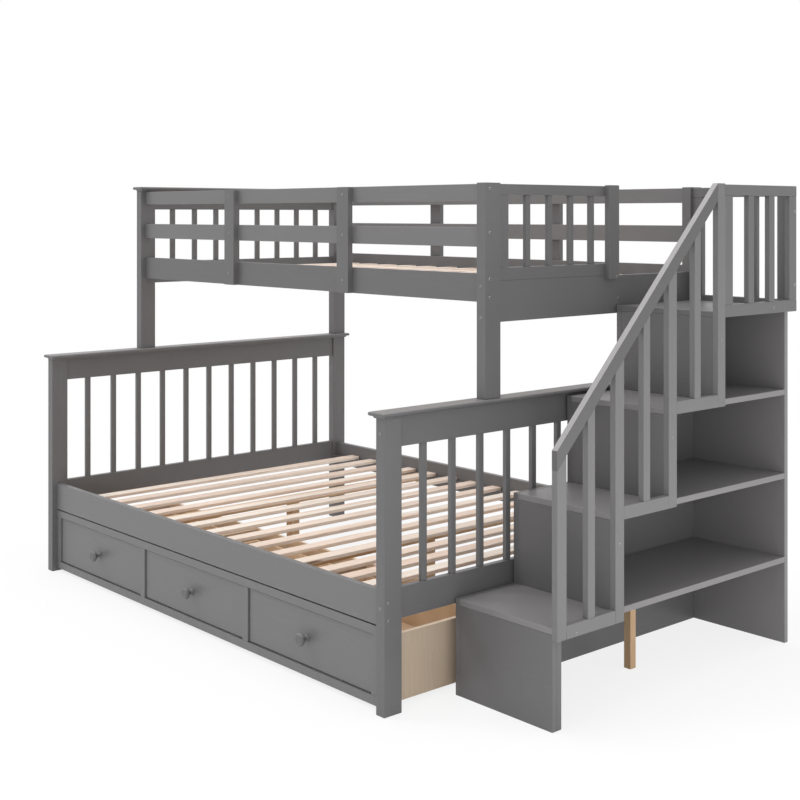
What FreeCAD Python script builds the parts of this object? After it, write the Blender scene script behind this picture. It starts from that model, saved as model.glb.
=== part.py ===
"""Bunk bed with storage stairs: a wide lower bunk on drawers, a narrow upper bunk, and a stair unit.

Lengths are in millimetres. X runs along the beds from the head end to the stairs, Y runs from the
drawer fronts to the back, and Z is up. Places are first counted from the head posts' outer face, the
front posts' front face and the floor. Every piece is then shifted so that the origin is on the floor
under the middle of the whole object.
"""
import FreeCAD
import Part
import os
import Sketcher
from types import SimpleNamespace

SIZES = {
    # lower bunk
    "bed_length": 2010,             # outside the posts, along X
    "bed_width": 1455,              # outside the posts, along Y
    "post_thick": 35,
    "joint_step": 1,                # a board's face behind the one that it is joined to
    "post_wide": 65,
    "lower_post_tall": 820,
    "cap_thick": 18,
    "cap_wide": 68,
    "cap_overhang": 12,
    "cap_round": 7,
    "end_setback": 8,               # end rails' outer face behind the posts' outer face
    "end_rail_thick": 20,
    "end_top_rail_tall": 82,
    "end_low_rail_floor": 260,
    "end_low_rail_tall": 87,
    "baluster_wide": 20,
    "baluster_thick": 14,
    "lower_baluster_pitch": 113.5,
    "side_setback": 20,             # side rails' outer face behind the posts' front face
    "side_rail_thick": 22,
    "side_rail_floor": 240,
    "side_rail_tall": 98,
    # slats, the same in both bunks
    "slat_recess": 42,              # slat tops below the side rails' tops
    "slat_thick": 12,
    "slat_wide": 50,
    "slat_close_pitch": 104,        # between the last slats at the foot
    "slat_head_gap": 108,
    "slat_foot_gap": 72,
    "slat_clearance": 1,            # between a slat's end and the side rail
    "ledge_wide": 18,
    "ledge_tall": 25,
    "bearer_wide": 40,
    "bearer_offset": 390,           # from mid length to each cross bearer's middle
    "centre_leg_side": 36,
    # drawer unit
    "glide_tall": 12,
    "glide_radius": 10,
    "glide_inset": 24,
    "unit_end_gap": 0.3,            # drawer unit between the posts
    "unit_top_gap": 4,
    "frame_thick": 18,
    "frame_strip_tall": 26,
    "frame_stile_wide": 28,
    "frame_end_stile_wide": 45,     # the stile beside the stairs is wider
    "case_deep": 500,
    "case_tall": 190,
    "case_panel_thick": 15,
    "case_panel_inset": 11,
    "case_back_thick": 12,
    "front_gap": 3,                 # all round a drawer front
    "front_recess": 7,
    "front_thick": 15,
    "box_side_gap": 13,
    "box_floor_gap": 8,             # drawer box above the frame's bottom strip
    "box_tall": 122,
    "box_deep": 450,
    "box_wall": 12,
    "box_base_thick": 6,
    "box_base_lift": 6,
    "runner_tall": 16,
    "runner_clearance": 0.4,
    "knob_radius": 20,
    "knob_head_thick": 16,
    "knob_round": 6,
    "knob_neck_radius": 9,
    "knob_neck_long": 20,
    # upper bunk
    "upper_width": 1064,            # outside the upper posts, along Y
    "upper_post_tall": 640,
    "guard_rail_thick": 20,
    "bed_rail_rise": 285,           # bed rail's underside above the lower cap
    "bed_rail_tall": 85,
    "mid_guard_tall": 58,
    "top_guard_tall": 51,
    "guard_drop": 3,                # guard tops below the post tops
    "guard_stile_wide": 60,
    "head_top_rail_tall": 74,
    "head_low_rail_drop": 17,       # its top below the bed rail's top
    "upper_baluster_pitch": 107,
    "entry_rail_tall": 123,
    "entry_rail_drop": 22,          # its top below the bed rail's top
    "foot_guard_long": 539,         # along Y, from the front post to the entry
    "foot_low_rail_tall": 39,
    "foot_top_rail_tall": 33,
    "foot_inner_stile_wide": 43,
    "foot_end_stile_wide": 51,
    "foot_end_stile_thick": 18,
    "foot_end_stile_lap": 11,       # how far it hangs over the entry rail
    # stairs
    "stair_front": 271,             # first riser's face behind the bed's front
    "stair_back_inset": 54,         # stair unit's back ahead of the bed's back
    "stair_outer": 373,             # bed's foot face to the outer ends of the treads
    "stair_board": 18,
    "stair_clearance": 0.3,         # side panel to the posts and round the lower cap
    "first_rise": 279,
    "step_rise": 270,
    "step_run": 241,
    "cleat_thick": 18,
    "cleat_wide": 45,
    "stair_leg_side": 26,
    "stair_leg_from_outer": 172,
    "stair_leg_from_front": 543,
    # balustrade and landing guards
    "balustrade_thick": 20,
    "newel_wide": 38,
    "newel_lead": 3,                # newel's front face ahead of its riser
    "stair_baluster_wide": 30,
    "low_rail_tall": 37,
    "low_rail_drop": 18,            # below the tread's top
    "first_rail_drop": 32,
    "handrail_rise": 476,           # handrail's low end above the first tread
    "handrail_deep": 54,            # measured upright
    "landing_top_rail_tall": 33,
    "landing_stile_wide": 40,
    # bolt heads
    "bolt_radius": 5,
    "small_bolt_radius": 4,
    "bolt_proud": 1.5,
    "rail_bolt_edge": 15,           # from a rail's edge to a bolt
    "newel_bolt_drop": 65,          # below the low rail beside it
    "guard_bolt_gap": 48,           # from a guard rail to a bolt in its end stile
}

LOWER_BALUSTERS = 11
UPPER_BALUSTERS = 8
EVEN_SLATS = 12
CLOSE_SLATS = 3
DRAWERS = 3
FOOT_GUARD_SLATS = 4
STEPS = 3
LANDING_SLATS = 2


class Size:
    """A length and the sheet expression that gives it, so that sums stay tied to the sheet."""

    def __init__(self, value, text):
        self.value = value
        self.text = text

    def __add__(self, other):
        return joined(self, "+", other, self.value + size(other).value)

    def __sub__(self, other):
        return joined(self, "-", other, self.value - size(other).value)

    def __mul__(self, other):
        return joined(self, "*", other, self.value * size(other).value)

    def __truediv__(self, other):
        return joined(self, "/", other, self.value / size(other).value)


def size(number):
    """The number itself as a Size, or the Size that is given."""
    return number if isinstance(number, Size) else Size(number, str(number))


def joined(left, sign, right, value):
    """One Size from two, with the expression in brackets."""
    return Size(value, f"({left.text} {sign} {size(right).text})")


doc = FreeCAD.newDocument("BunkBed")


def fill_sheet():
    """Write the sizes into the sheet and hand them back by name."""
    sheet = doc.addObject("Spreadsheet::Sheet", "Sizes")
    cells = {}
    for row, (name, value) in enumerate(SIZES.items(), start=1):
        sheet.set(f"A{row}", name)
        sheet.set(f"B{row}", str(value))
        sheet.setAlias(f"B{row}", name)
        cells[name] = Size(value, "Sizes." + name)
    doc.recompute()
    return SimpleNamespace(**cells)


s = fill_sheet()

# Faces and levels that more than one piece uses
FLOOR = size(0)
FOOT_X = s.bed_length - s.post_thick
BACK_Y = s.bed_width - s.post_wide
UPPER_Y = s.bed_width - s.upper_width
LOWER_CAP_TOP = s.lower_post_tall + s.cap_thick
UPPER_TOP = LOWER_CAP_TOP + s.upper_post_tall
LANDING_TOP = s.first_rise + s.step_rise * STEPS
STAIR_IN_X = s.bed_length + s.stair_clearance
TREAD_X = STAIR_IN_X + s.stair_board
STAIR_OUT_X = s.bed_length + s.stair_outer
STAIR_BACK = s.bed_width - s.stair_back_inset
BALUSTRADE_X = STAIR_OUT_X + s.balustrade_thick
ORIGIN_X = (BALUSTRADE_X + s.bolt_proud - s.cap_overhang) / 2
ORIGIN_Y = s.bed_width / 2

sub_parts = []


def keep(item):
    """Note an object as one of the sub-parts that are written out."""
    sub_parts.append(item)
    return item


def shift(item, x=FLOOR, y=FLOOR, z=FLOOR):
    """Place an object by its corner or base point, counted from the bed's own corner."""
    item.setExpression("Placement.Base.x", (x - ORIGIN_X).text)
    item.setExpression("Placement.Base.y", (y - ORIGIN_Y).text)
    item.setExpression("Placement.Base.z", z.text)


def span(start, length):
    """The two faces of a piece that starts at one place and has a length."""
    return start, start + length


def board(name, x, y, z):
    """A squared board; x, y and z each hold its low and its high face."""
    box = doc.addObject("Part::Box", name)
    box.Label = name
    for side, (low, high) in zip(("Length", "Width", "Height"), (x, y, z)):
        box.setExpression(side, (high - low).text)
    shift(box, x[0], y[0], z[0])
    return box


def group(name, pieces):
    """Several like pieces as one sub-part of separate solids."""
    whole = doc.addObject("Part::Compound", name)
    whole.Label = name
    whole.Links = pieces
    return keep(whole)


def boards(name, places):
    """A group of boards from a list of x, y and z faces."""
    return group(name, [board(f"{name}_{i}", *place) for i, place in enumerate(places, start=1)])


def new_body(name):
    """An empty body with its own label."""
    body = doc.addObject("PartDesign::Body", name)
    body.Label = name
    return body


def new_sketch(body, name, role, offset=FLOOR):
    """A sketch on one of the body's own planes, moved along that plane's normal."""
    plane = next(item for item in body.Origin.OriginFeatures if item.Role == role)
    sketch = body.newObject("Sketcher::SketchObject", name)
    sketch.AttachmentSupport = [(plane, "")]
    sketch.MapMode = "FlatFace"
    sketch.setExpression("AttachmentOffset.Base.z", offset.text)
    return sketch


def add_pad(body, sketch, length):
    """Pad a sketch by a length of the sheet."""
    pad = body.newObject("PartDesign::Pad", body.Name + "_pad")
    pad.Profile = sketch
    pad.setExpression("Length", length.text)
    body.Tip = pad
    return pad


def draw_outline(sketch, points):
    """A closed outline of straight lines, with each corner held by two sizes from the origin."""
    corners = [FreeCAD.Vector(u.value, v.value, 0) for u, v in points]
    for here, there in zip(corners, corners[1:] + corners[:1]):
        sketch.addGeometry(Part.LineSegment(here, there))
    for line, (u, v) in enumerate(points):
        next_line = (line + 1) % len(points)
        sketch.addConstraint(Sketcher.Constraint("Coincident", line, 2, next_line, 1))
        for kind, length in (("DistanceX", u), ("DistanceY", v)):
            number = sketch.addConstraint(Sketcher.Constraint(kind, -1, 1, line, 1, length.value))
            sketch.setExpression(f"Constraints[{number}]", length.text)


def draw_circle(sketch, radius):
    """A circle round the sketch's origin."""
    centre = FreeCAD.Vector(0, 0, 0)
    sketch.addGeometry(Part.Circle(centre, FreeCAD.Vector(0, 0, 1), radius.value))
    sketch.addConstraint(Sketcher.Constraint("Coincident", 0, 3, -1, 1))
    number = sketch.addConstraint(Sketcher.Constraint("Radius", 0, radius.value))
    sketch.setExpression(f"Constraints[{number}]", radius.text)


def side_board(name, points, x):
    """A board cut to an outline of (y, z) corners, between two x faces."""
    body = new_body(name)
    sketch = new_sketch(body, name + "_outline", "YZ_Plane", x[0])
    draw_outline(sketch, points)
    add_pad(body, sketch, x[1] - x[0])
    shift(body)
    return body


def cap(name, x, y, z):
    """A moulded cap: a board whose top edges are rounded all round."""
    body = new_body(name)
    sketch = new_sketch(body, name + "_outline", "XY_Plane")
    wide = x[1] - x[0]
    long = y[1] - y[0]
    draw_outline(sketch, [(FLOOR, FLOOR), (wide, FLOOR), (wide, long), (FLOOR, long)])
    pad = add_pad(body, sketch, z[1] - z[0])
    shift(body, x[0], y[0], z[0])
    doc.recompute()
    top = max(range(len(pad.Shape.Faces)), key=lambda i: pad.Shape.Faces[i].CenterOfMass.z)
    rounding = body.newObject("PartDesign::Fillet", name + "_rounding")
    rounding.Base = (pad, [f"Face{top + 1}"])
    rounding.setExpression("Radius", "min(Sizes.cap_round; Sizes.cap_thick * 0.9)")
    body.Tip = rounding
    return keep(body)


def spread(low, high, wide, count):
    """Low and high faces of like pieces set evenly in a gap."""
    pitch = (high - low - wide * count) / (count + 1) + wide
    first = low + pitch - wide
    return [span(first + pitch * i, wide) for i in range(count)]


def pitched(low, high, wide, pitch, count):
    """Low and high faces of like pieces at a pitch, centred between two faces."""
    middle = (low + high) / 2
    return [span(middle + pitch * (i - (count - 1) / 2) - wide / 2, wide) for i in range(count)]


def end_frame(name, outer_x, sign):
    """Head or foot end of the lower bunk: posts, rails, balusters and a moulded cap."""
    between = (s.post_wide, BACK_Y)
    if sign > 0:
        post_x = span(outer_x, s.post_thick)
        rail_x = span(outer_x + s.end_setback, s.end_rail_thick)
        cap_x = span(outer_x - s.cap_overhang, s.cap_wide)
    else:
        post_x = span(outer_x - s.post_thick, s.post_thick)
        rail_x = span(outer_x - s.end_setback - s.end_rail_thick, s.end_rail_thick)
        cap_x = span(outer_x + s.cap_overhang - s.cap_wide, s.cap_wide)
    post_z = (FLOOR, s.lower_post_tall)
    boards(name + "_posts", [(post_x, (FLOOR, s.post_wide), post_z),
                             (post_x, (BACK_Y, s.bed_width), post_z)])
    top_z = (s.lower_post_tall - s.end_top_rail_tall, s.lower_post_tall)
    low_z = span(s.end_low_rail_floor, s.end_low_rail_tall)
    keep(board(name + "_top_rail", rail_x, between, top_z))
    keep(board(name + "_bottom_rail", rail_x, between, low_z))
    baluster_x = inset(rail_x, s.baluster_thick)
    rows = pitched(*between, s.baluster_wide, s.lower_baluster_pitch, LOWER_BALUSTERS)
    boards(name + "_balusters", [(baluster_x, row, (low_z[1], top_z[0])) for row in rows])
    cap_y = (FLOOR - s.cap_overhang, s.bed_width + s.cap_overhang)
    cap(name + "_cap", cap_x, cap_y, span(s.lower_post_tall, s.cap_thick))


def inset(faces, thick):
    """Faces of a thinner piece in the middle of a thicker one."""
    middle = (faces[0] + faces[1]) / 2
    return span(middle - thick / 2, thick)


def slat_rows():
    """Low and high X faces of the slats: an even pitch from the head, then closer at the foot."""
    last = FOOT_X - s.slat_foot_gap - s.slat_wide
    turn = last - s.slat_close_pitch * CLOSE_SLATS
    first = s.post_thick + s.slat_head_gap
    pitch = (turn - first) / (EVEN_SLATS - 1)
    starts = [first + pitch * i for i in range(EVEN_SLATS)]
    starts += [turn + s.slat_close_pitch * (i + 1) for i in range(CLOSE_SLATS)]
    return [span(start, s.slat_wide) for start in starts]


def slat_bed(name, rails_y, rail_top):
    """Slats on a ledge along each side rail; rails_y holds the rails' inner faces."""
    front, back = rails_y
    slat_z = (rail_top - s.slat_recess - s.slat_thick, rail_top - s.slat_recess)
    ledge_z = (slat_z[0] - s.ledge_tall, slat_z[0])
    along = (s.post_thick, FOOT_X)
    boards(name + "_ledges", [(along, span(front, s.ledge_wide), ledge_z),
                              (along, (back - s.ledge_wide, back), ledge_z)])
    slat_y = (front + s.slat_clearance, back - s.slat_clearance)
    boards(name + "_slats", [(row, slat_y, slat_z) for row in slat_rows()])
    return ledge_z


def lower_bunk():
    """Ends, side rails, slats, and the bearers and centre legs under the slats."""
    end_frame("headboard", FLOOR, 1)
    end_frame("footboard", s.bed_length, -1)
    along = (s.post_thick, FOOT_X)
    rail_z = span(s.side_rail_floor, s.side_rail_tall)
    front_y = span(s.side_setback, s.side_rail_thick)
    back_y = (s.bed_width - s.side_setback - s.side_rail_thick, s.bed_width - s.side_setback)
    keep(board("side_rail_front", along, front_y, rail_z))
    keep(board("side_rail_back", along, back_y, rail_z))
    ledge_z = slat_bed("lower", (front_y[1], back_y[0]), rail_z[1])
    bearer_y = (front_y[1] + s.ledge_wide, back_y[0] - s.ledge_wide)
    leg_y = inset((FLOOR, s.bed_width), s.centre_leg_side)
    bearers = []
    legs = []
    for side in (-1, 1):
        middle = s.bed_length / 2 + s.bearer_offset * side
        bearers.append((span(middle - s.bearer_wide / 2, s.bearer_wide), bearer_y, ledge_z))
        leg_x = span(middle - s.centre_leg_side / 2, s.centre_leg_side)
        legs.append((leg_x, leg_y, (FLOOR, ledge_z[0])))
    boards("cross_bearers", bearers)
    boards("centre_legs", legs)


# Drawer unit: where its frame, its stiles and its openings are
UNIT_X = (s.post_thick + s.unit_end_gap, FOOT_X - s.unit_end_gap)
UNIT_Z = (s.glide_tall, s.side_rail_floor - s.unit_top_gap)
FRAME_Y = span(s.side_setback, s.frame_thick)
OPENING_Z = (UNIT_Z[0] + s.frame_strip_tall, UNIT_Z[1] - s.frame_strip_tall)
OPENING_WIDE = (UNIT_X[1] - UNIT_X[0] - s.frame_stile_wide * DRAWERS - s.frame_end_stile_wide) / DRAWERS
OPENING_PITCH = OPENING_WIDE + s.frame_stile_wide
OPENINGS = [span(UNIT_X[0] + s.frame_stile_wide + OPENING_PITCH * i, OPENING_WIDE) for i in range(DRAWERS)]
FRONT_Y = span(s.side_setback + s.front_recess, s.front_thick)
CASE_Z = span(s.glide_tall, s.case_tall)
CASE_BACK_Y = (s.side_setback + s.case_deep - s.case_back_thick, s.side_setback + s.case_deep)


def case_panels_x():
    """X faces of the upright panels: one near each end and one behind each stile between drawers."""
    thick = s.case_panel_thick
    panels = [span(UNIT_X[0] + s.case_panel_inset, thick)]
    for left, right in zip(OPENINGS, OPENINGS[1:]):
        panels.append(inset((left[1], right[0]), thick))
    panels.append((UNIT_X[1] - s.case_panel_inset - thick, UNIT_X[1] - s.case_panel_inset))
    return panels


def drawer_case():
    """Face frame, upright panels, back, runners and glides."""
    rails = [(UNIT_X, FRAME_Y, (UNIT_Z[0], OPENING_Z[0])), (UNIT_X, FRAME_Y, (OPENING_Z[1], UNIT_Z[1]))]
    edges = [UNIT_X[0]] + [face for opening in OPENINGS for face in opening] + [UNIT_X[1]]
    stiles = [(edges[i], edges[i + 1]) for i in range(0, len(edges), 2)]
    stile_y = (FRAME_Y[0] + s.joint_step, FRAME_Y[1] - s.joint_step)
    boards("drawer_face_frame", rails + [(stile, stile_y, OPENING_Z) for stile in stiles])
    panels = case_panels_x()
    panel_y = (FRAME_Y[1], CASE_BACK_Y[0])
    boards("drawer_case_panels", [(panel, panel_y, CASE_Z) for panel in panels])
    keep(board("drawer_case_back", (panels[0][0], panels[-1][1]), CASE_BACK_Y, CASE_Z))
    runner_top = OPENING_Z[0] + s.box_floor_gap - s.runner_clearance
    runner_z = (runner_top - s.runner_tall, runner_top)
    runner_y = (FRONT_Y[1] + s.runner_clearance, CASE_BACK_Y[0])
    runners = []
    for opening, left, right in zip(OPENINGS, panels, panels[1:]):
        reach = s.box_side_gap + s.box_wall
        runners.append(((left[1], opening[0] + reach), runner_y, runner_z))
        runners.append(((opening[1] - reach, right[0]), runner_y, runner_z))
    boards("drawer_runners", runners)
    glides = []
    for panel in panels:
        for y in (panel_y[0] + s.glide_inset, panel_y[1] - s.glide_inset):
            glide = doc.addObject("Part::Cylinder", f"glide_{len(glides) + 1}")
            glide.setExpression("Radius", s.glide_radius.text)
            glide.setExpression("Height", s.glide_tall.text)
            shift(glide, (panel[0] + panel[1]) / 2, y)
            glides.append(glide)
    group("case_glides", glides)


def knob(name, x, y, z):
    """A turned knob: a neck on the drawer front and a rounded head."""
    body = new_body(name)
    neck = new_sketch(body, name + "_neck", "XZ_Plane")
    draw_circle(neck, s.knob_neck_radius)
    add_pad(body, neck, s.knob_neck_long)
    head = new_sketch(body, name + "_head", "XZ_Plane", s.knob_neck_long)
    draw_circle(head, s.knob_radius)
    pad = add_pad(body, head, s.knob_head_thick)
    shift(body, x, y, z)
    doc.recompute()
    rims = []
    for number, edge in enumerate(pad.Shape.Edges, start=1):
        if edge.Curve.TypeId == "Part::GeomCircle" and edge.Curve.Radius > s.knob_neck_radius.value + 1:
            rims.append(f"Edge{number}")
    rounding = body.newObject("PartDesign::Fillet", name + "_rounding")
    rounding.Base = (pad, rims)
    rounding.setExpression("Radius", "min(Sizes.knob_round; Sizes.knob_head_thick * 0.45)")
    body.Tip = rounding
    return keep(body)


def drawer(number, opening):
    """One drawer: an inset front, an open box behind it and a knob."""
    front_x = (opening[0] + s.front_gap, opening[1] - s.front_gap)
    front_z = (OPENING_Z[0] + s.front_gap, OPENING_Z[1] - s.front_gap)
    keep(board(f"drawer_front_{number}", front_x, FRONT_Y, front_z))
    left, right = opening[0] + s.box_side_gap, opening[1] - s.box_side_gap
    inside = (left + s.box_wall, right - s.box_wall)
    box_y = span(FRONT_Y[1], s.box_deep)
    box_z = span(OPENING_Z[0] + s.box_floor_gap, s.box_tall)
    inside_y = (box_y[0], box_y[1] - s.box_wall)
    boards(f"drawer_box_{number}", [
        ((left, inside[0]), box_y, box_z),
        ((inside[1], right), box_y, box_z),
        (inside, (inside_y[1], box_y[1] - s.joint_step), box_z),
        (inside, inside_y, span(box_z[0] + s.box_base_lift, s.box_base_thick))])
    knob(f"drawer_knob_{number}", (opening[0] + opening[1]) / 2, FRONT_Y[0], (front_z[0] + front_z[1]) / 2)


# Upper bunk levels
BED_RAIL_Z = span(LOWER_CAP_TOP + s.bed_rail_rise, s.bed_rail_tall)
GUARD_TOP = UPPER_TOP - s.guard_drop
TOP_GUARD_Z = (GUARD_TOP - s.top_guard_tall, GUARD_TOP)
MID_GUARD_Z = inset((BED_RAIL_Z[1], TOP_GUARD_Z[0]), s.mid_guard_tall)
ENTRY_RAIL_Z = (BED_RAIL_Z[1] - s.entry_rail_drop - s.entry_rail_tall, BED_RAIL_Z[1] - s.entry_rail_drop)
UPPER_INSIDE_Y = (UPPER_Y + s.post_wide, BACK_Y)
FOOT_RAIL_X = (s.bed_length - s.end_setback - s.end_rail_thick, s.bed_length - s.end_setback)


def upper_side(name, rail_y, stile_y):
    """Bed rail and guard rails of one long side; hands back where its stiles go."""
    along = (s.post_thick, FOOT_X)
    keep(board(f"upper_bed_rail_{name}", along, rail_y, BED_RAIL_Z))
    boards(f"upper_guard_rails_{name}", [(along, rail_y, MID_GUARD_Z), (along, rail_y, TOP_GUARD_Z)])
    stile_z = (BED_RAIL_Z[0], GUARD_TOP)
    stiles = []
    for third in (1, 2):
        middle = s.bed_length * third / 3
        stiles.append((span(middle - s.guard_stile_wide / 2, s.guard_stile_wide), stile_y, stile_z))
    return stiles


def upper_head():
    """Head end of the upper bunk: two rails, balusters and a cap over the posts."""
    rail_x = span(s.end_setback, s.end_rail_thick)
    top_z = (UPPER_TOP - s.head_top_rail_tall, UPPER_TOP)
    low_top = BED_RAIL_Z[1] - s.head_low_rail_drop
    low_z = (low_top - s.end_low_rail_tall, low_top)
    boards("upper_head_rails", [(rail_x, UPPER_INSIDE_Y, low_z), (rail_x, UPPER_INSIDE_Y, top_z)])
    rows = pitched(*UPPER_INSIDE_Y, s.baluster_wide, s.upper_baluster_pitch, UPPER_BALUSTERS)
    baluster_x = inset(rail_x, s.baluster_thick)
    boards("upper_head_balusters", [(baluster_x, row, (low_z[1], top_z[0])) for row in rows])
    cap_y = (UPPER_Y - s.cap_overhang, s.bed_width + s.cap_overhang)
    cap("upper_head_cap", span(FLOOR - s.cap_overhang, s.cap_wide), cap_y, span(UPPER_TOP, s.cap_thick))


def upper_foot():
    """Foot end of the upper bunk: a wide rail, and a guard that leaves the entry from the stairs.

    The guard's last baluster stands behind the end stile.
    """
    keep(board("upper_entry_rail", FOOT_RAIL_X, UPPER_INSIDE_Y, ENTRY_RAIL_Z))
    start = UPPER_INSIDE_Y[0]
    end = start + s.foot_guard_long
    stile_y = (end - s.foot_end_stile_wide, end)
    low_z = span(ENTRY_RAIL_Z[1], s.foot_low_rail_tall)
    top_z = (GUARD_TOP - s.foot_top_rail_tall, GUARD_TOP)
    boards("foot_guard_rails", [(FOOT_RAIL_X, (start, end), low_z), (FOOT_RAIL_X, (start, end), top_z)])
    inner_y = span(start, s.foot_inner_stile_wide)
    stile_x = span(FOOT_RAIL_X[1], s.foot_end_stile_thick)
    stile_z = (ENTRY_RAIL_Z[1] - s.foot_end_stile_lap, UPPER_TOP)
    boards("foot_guard_stiles", [(FOOT_RAIL_X, inner_y, (low_z[1], top_z[0])), (stile_x, stile_y, stile_z)])
    last = (end - s.baluster_wide, end)
    rows = spread(inner_y[1], last[0], s.baluster_wide, FOOT_GUARD_SLATS) + [last]
    slat_x = inset(FOOT_RAIL_X, s.baluster_thick)
    boards("foot_guard_balusters", [(slat_x, row, (low_z[1], top_z[0])) for row in rows])


def upper_bunk():
    """Posts on the lower caps, guarded sides, both ends and the slats."""
    post_z = (LOWER_CAP_TOP, UPPER_TOP)
    ends = ((FLOOR, s.post_thick), (FOOT_X, s.bed_length))
    rows = (span(UPPER_Y, s.post_wide), (BACK_Y, s.bed_width))
    boards("upper_posts", [(x, y, post_z) for x in ends for y in rows])
    front_stile_y = span(UPPER_Y, s.side_setback)
    front_y = span(front_stile_y[1], s.guard_rail_thick)
    back_stile_y = (s.bed_width - s.side_setback, s.bed_width)
    back_y = (back_stile_y[0] - s.guard_rail_thick, back_stile_y[0])
    stiles = upper_side("front", front_y, front_stile_y) + upper_side("back", back_y, back_stile_y)
    boards("upper_guard_stiles", stiles)
    upper_head()
    upper_foot()
    slat_bed("upper", (front_y[1], back_y[0]), BED_RAIL_Z[1])


def tread_top(step):
    """Height of a tread's top; step 0 is the first and the last is the landing."""
    return s.first_rise + s.step_rise * step


def riser_face(step):
    """Front face of the riser under a tread."""
    return s.stair_front + s.step_run * step


def cut_cap_notch(panel):
    """Cut the side panel's inner face where the lower bunk's cap overhangs the posts."""
    doc.recompute()
    uncut = panel.Shape.Volume
    notch = new_sketch(panel, panel.Name + "_notch", "YZ_Plane", STAIR_IN_X)
    low = s.lower_post_tall - s.stair_clearance
    high = LOWER_CAP_TOP + s.stair_clearance
    draw_outline(notch, [(FLOOR, low), (s.bed_width, low), (s.bed_width, high), (FLOOR, high)])
    pocket = panel.newObject("PartDesign::Pocket", panel.Name + "_pocket")
    pocket.Profile = notch
    pocket.setExpression("Length", s.cap_overhang.text)
    pocket.Reversed = True
    panel.Tip = pocket
    doc.recompute()
    if panel.Shape.Volume >= uncut:
        raise RuntimeError(f"the notch in {panel.Label} cuts nothing")


def stair_unit():
    """Stepped side panel, back, risers, shelves that are also the treads, cleat and leg."""
    corners = [(s.stair_front, FLOOR)]
    for step in range(STEPS + 1):
        corners += [(riser_face(step), tread_top(step)), (riser_face(step + 1), tread_top(step))]
    corners[-1] = (STAIR_BACK, LANDING_TOP)
    corners.append((STAIR_BACK, FLOOR))
    panel = keep(side_board("stair_side_panel", corners, (STAIR_IN_X, TREAD_X)))
    cut_cap_notch(panel)
    across = (TREAD_X, STAIR_OUT_X)
    back_y = (STAIR_BACK - s.stair_board, STAIR_BACK)
    keep(board("stair_back_panel", across, back_y, (FLOOR, LANDING_TOP - s.stair_board)))
    risers = []
    shelves = []
    bottom = FLOOR
    for step in range(STEPS + 1):
        face = riser_face(step)
        top = tread_top(step)
        under = top - s.stair_board
        risers.append((across, span(face, s.stair_board), (bottom, under)))
        shelves.append((across, (face, back_y[0]), (under, top)))
        bottom = top
    boards("stair_risers", risers)
    boards("stair_shelves", shelves[:-1])
    landing = shelves[-1]
    keep(board("landing_board", across, (landing[1][0], STAIR_BACK), landing[2]))
    low_z = (FLOOR, s.first_rise - s.stair_board)
    cleat_x = (STAIR_OUT_X - s.cleat_wide, STAIR_OUT_X)
    keep(board("stair_front_cleat", cleat_x, span(s.stair_front + s.stair_board, s.cleat_thick), low_z))
    leg_x = span(STAIR_OUT_X - s.stair_leg_from_outer - s.stair_leg_side, s.stair_leg_side)
    leg_y = span(s.stair_front + s.stair_leg_from_front, s.stair_leg_side)
    keep(board("stair_leg", leg_x, leg_y, low_z))


# Balustrade: the newels' fronts, and the line of the handrail over them
RAIL_X = (STAIR_OUT_X, BALUSTRADE_X)
NEWELS = [riser_face(step) - s.newel_lead for step in range(STEPS + 1)]
HANDRAIL_LOW = s.first_rise + s.handrail_rise
HANDRAIL_HIGH = UPPER_TOP
LOW_RAILS = [s.first_rise - s.first_rail_drop] + [tread_top(i) - s.low_rail_drop for i in (1, 2)]


def handrail_top(y):
    """Height of the handrail's top above a place along Y."""
    return HANDRAIL_LOW + (HANDRAIL_HIGH - HANDRAIL_LOW) * (y - NEWELS[0]) / (NEWELS[-1] - NEWELS[0])


def under_handrail(name, y, bottom):
    """An upright whose top is cut along the handrail's underside."""
    tops = [handrail_top(face) - s.handrail_deep for face in y]
    return side_board(name, [(y[0], bottom), (y[1], bottom), (y[1], tops[1]), (y[0], tops[0])], RAIL_X)


def balustrade():
    """Newels, a low rail and a baluster on each step, and the sloping handrail."""
    newels = []
    balusters = []
    rails = []
    for i, bottom in enumerate(LOW_RAILS):
        foot = LOW_RAILS[max(i - 1, 0)]
        newels.append(under_handrail(f"newel_{i + 1}", span(NEWELS[i], s.newel_wide), foot))
        between = (NEWELS[i] + s.newel_wide, NEWELS[i + 1])
        rail_z = span(bottom, s.low_rail_tall)
        rails.append((RAIL_X, between, rail_z))
        balusters.append(under_handrail(f"stair_baluster_{i + 1}", inset(between, s.stair_baluster_wide),
                                        rail_z[1]))
    tall_y = span(NEWELS[-1], s.newel_wide)
    newels.append(board("landing_newel", RAIL_X, tall_y, (LOW_RAILS[-1], HANDRAIL_HIGH)))
    group("balustrade_newels", newels)
    group("balustrade_balusters", balusters)
    boards("balustrade_low_rails", rails)
    low_end, high_end = NEWELS[0], NEWELS[-1]
    keep(side_board("handrail", [(low_end, HANDRAIL_LOW - s.handrail_deep),
                                 (high_end, HANDRAIL_HIGH - s.handrail_deep),
                                 (high_end, HANDRAIL_HIGH), (low_end, HANDRAIL_LOW)], RAIL_X))


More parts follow.
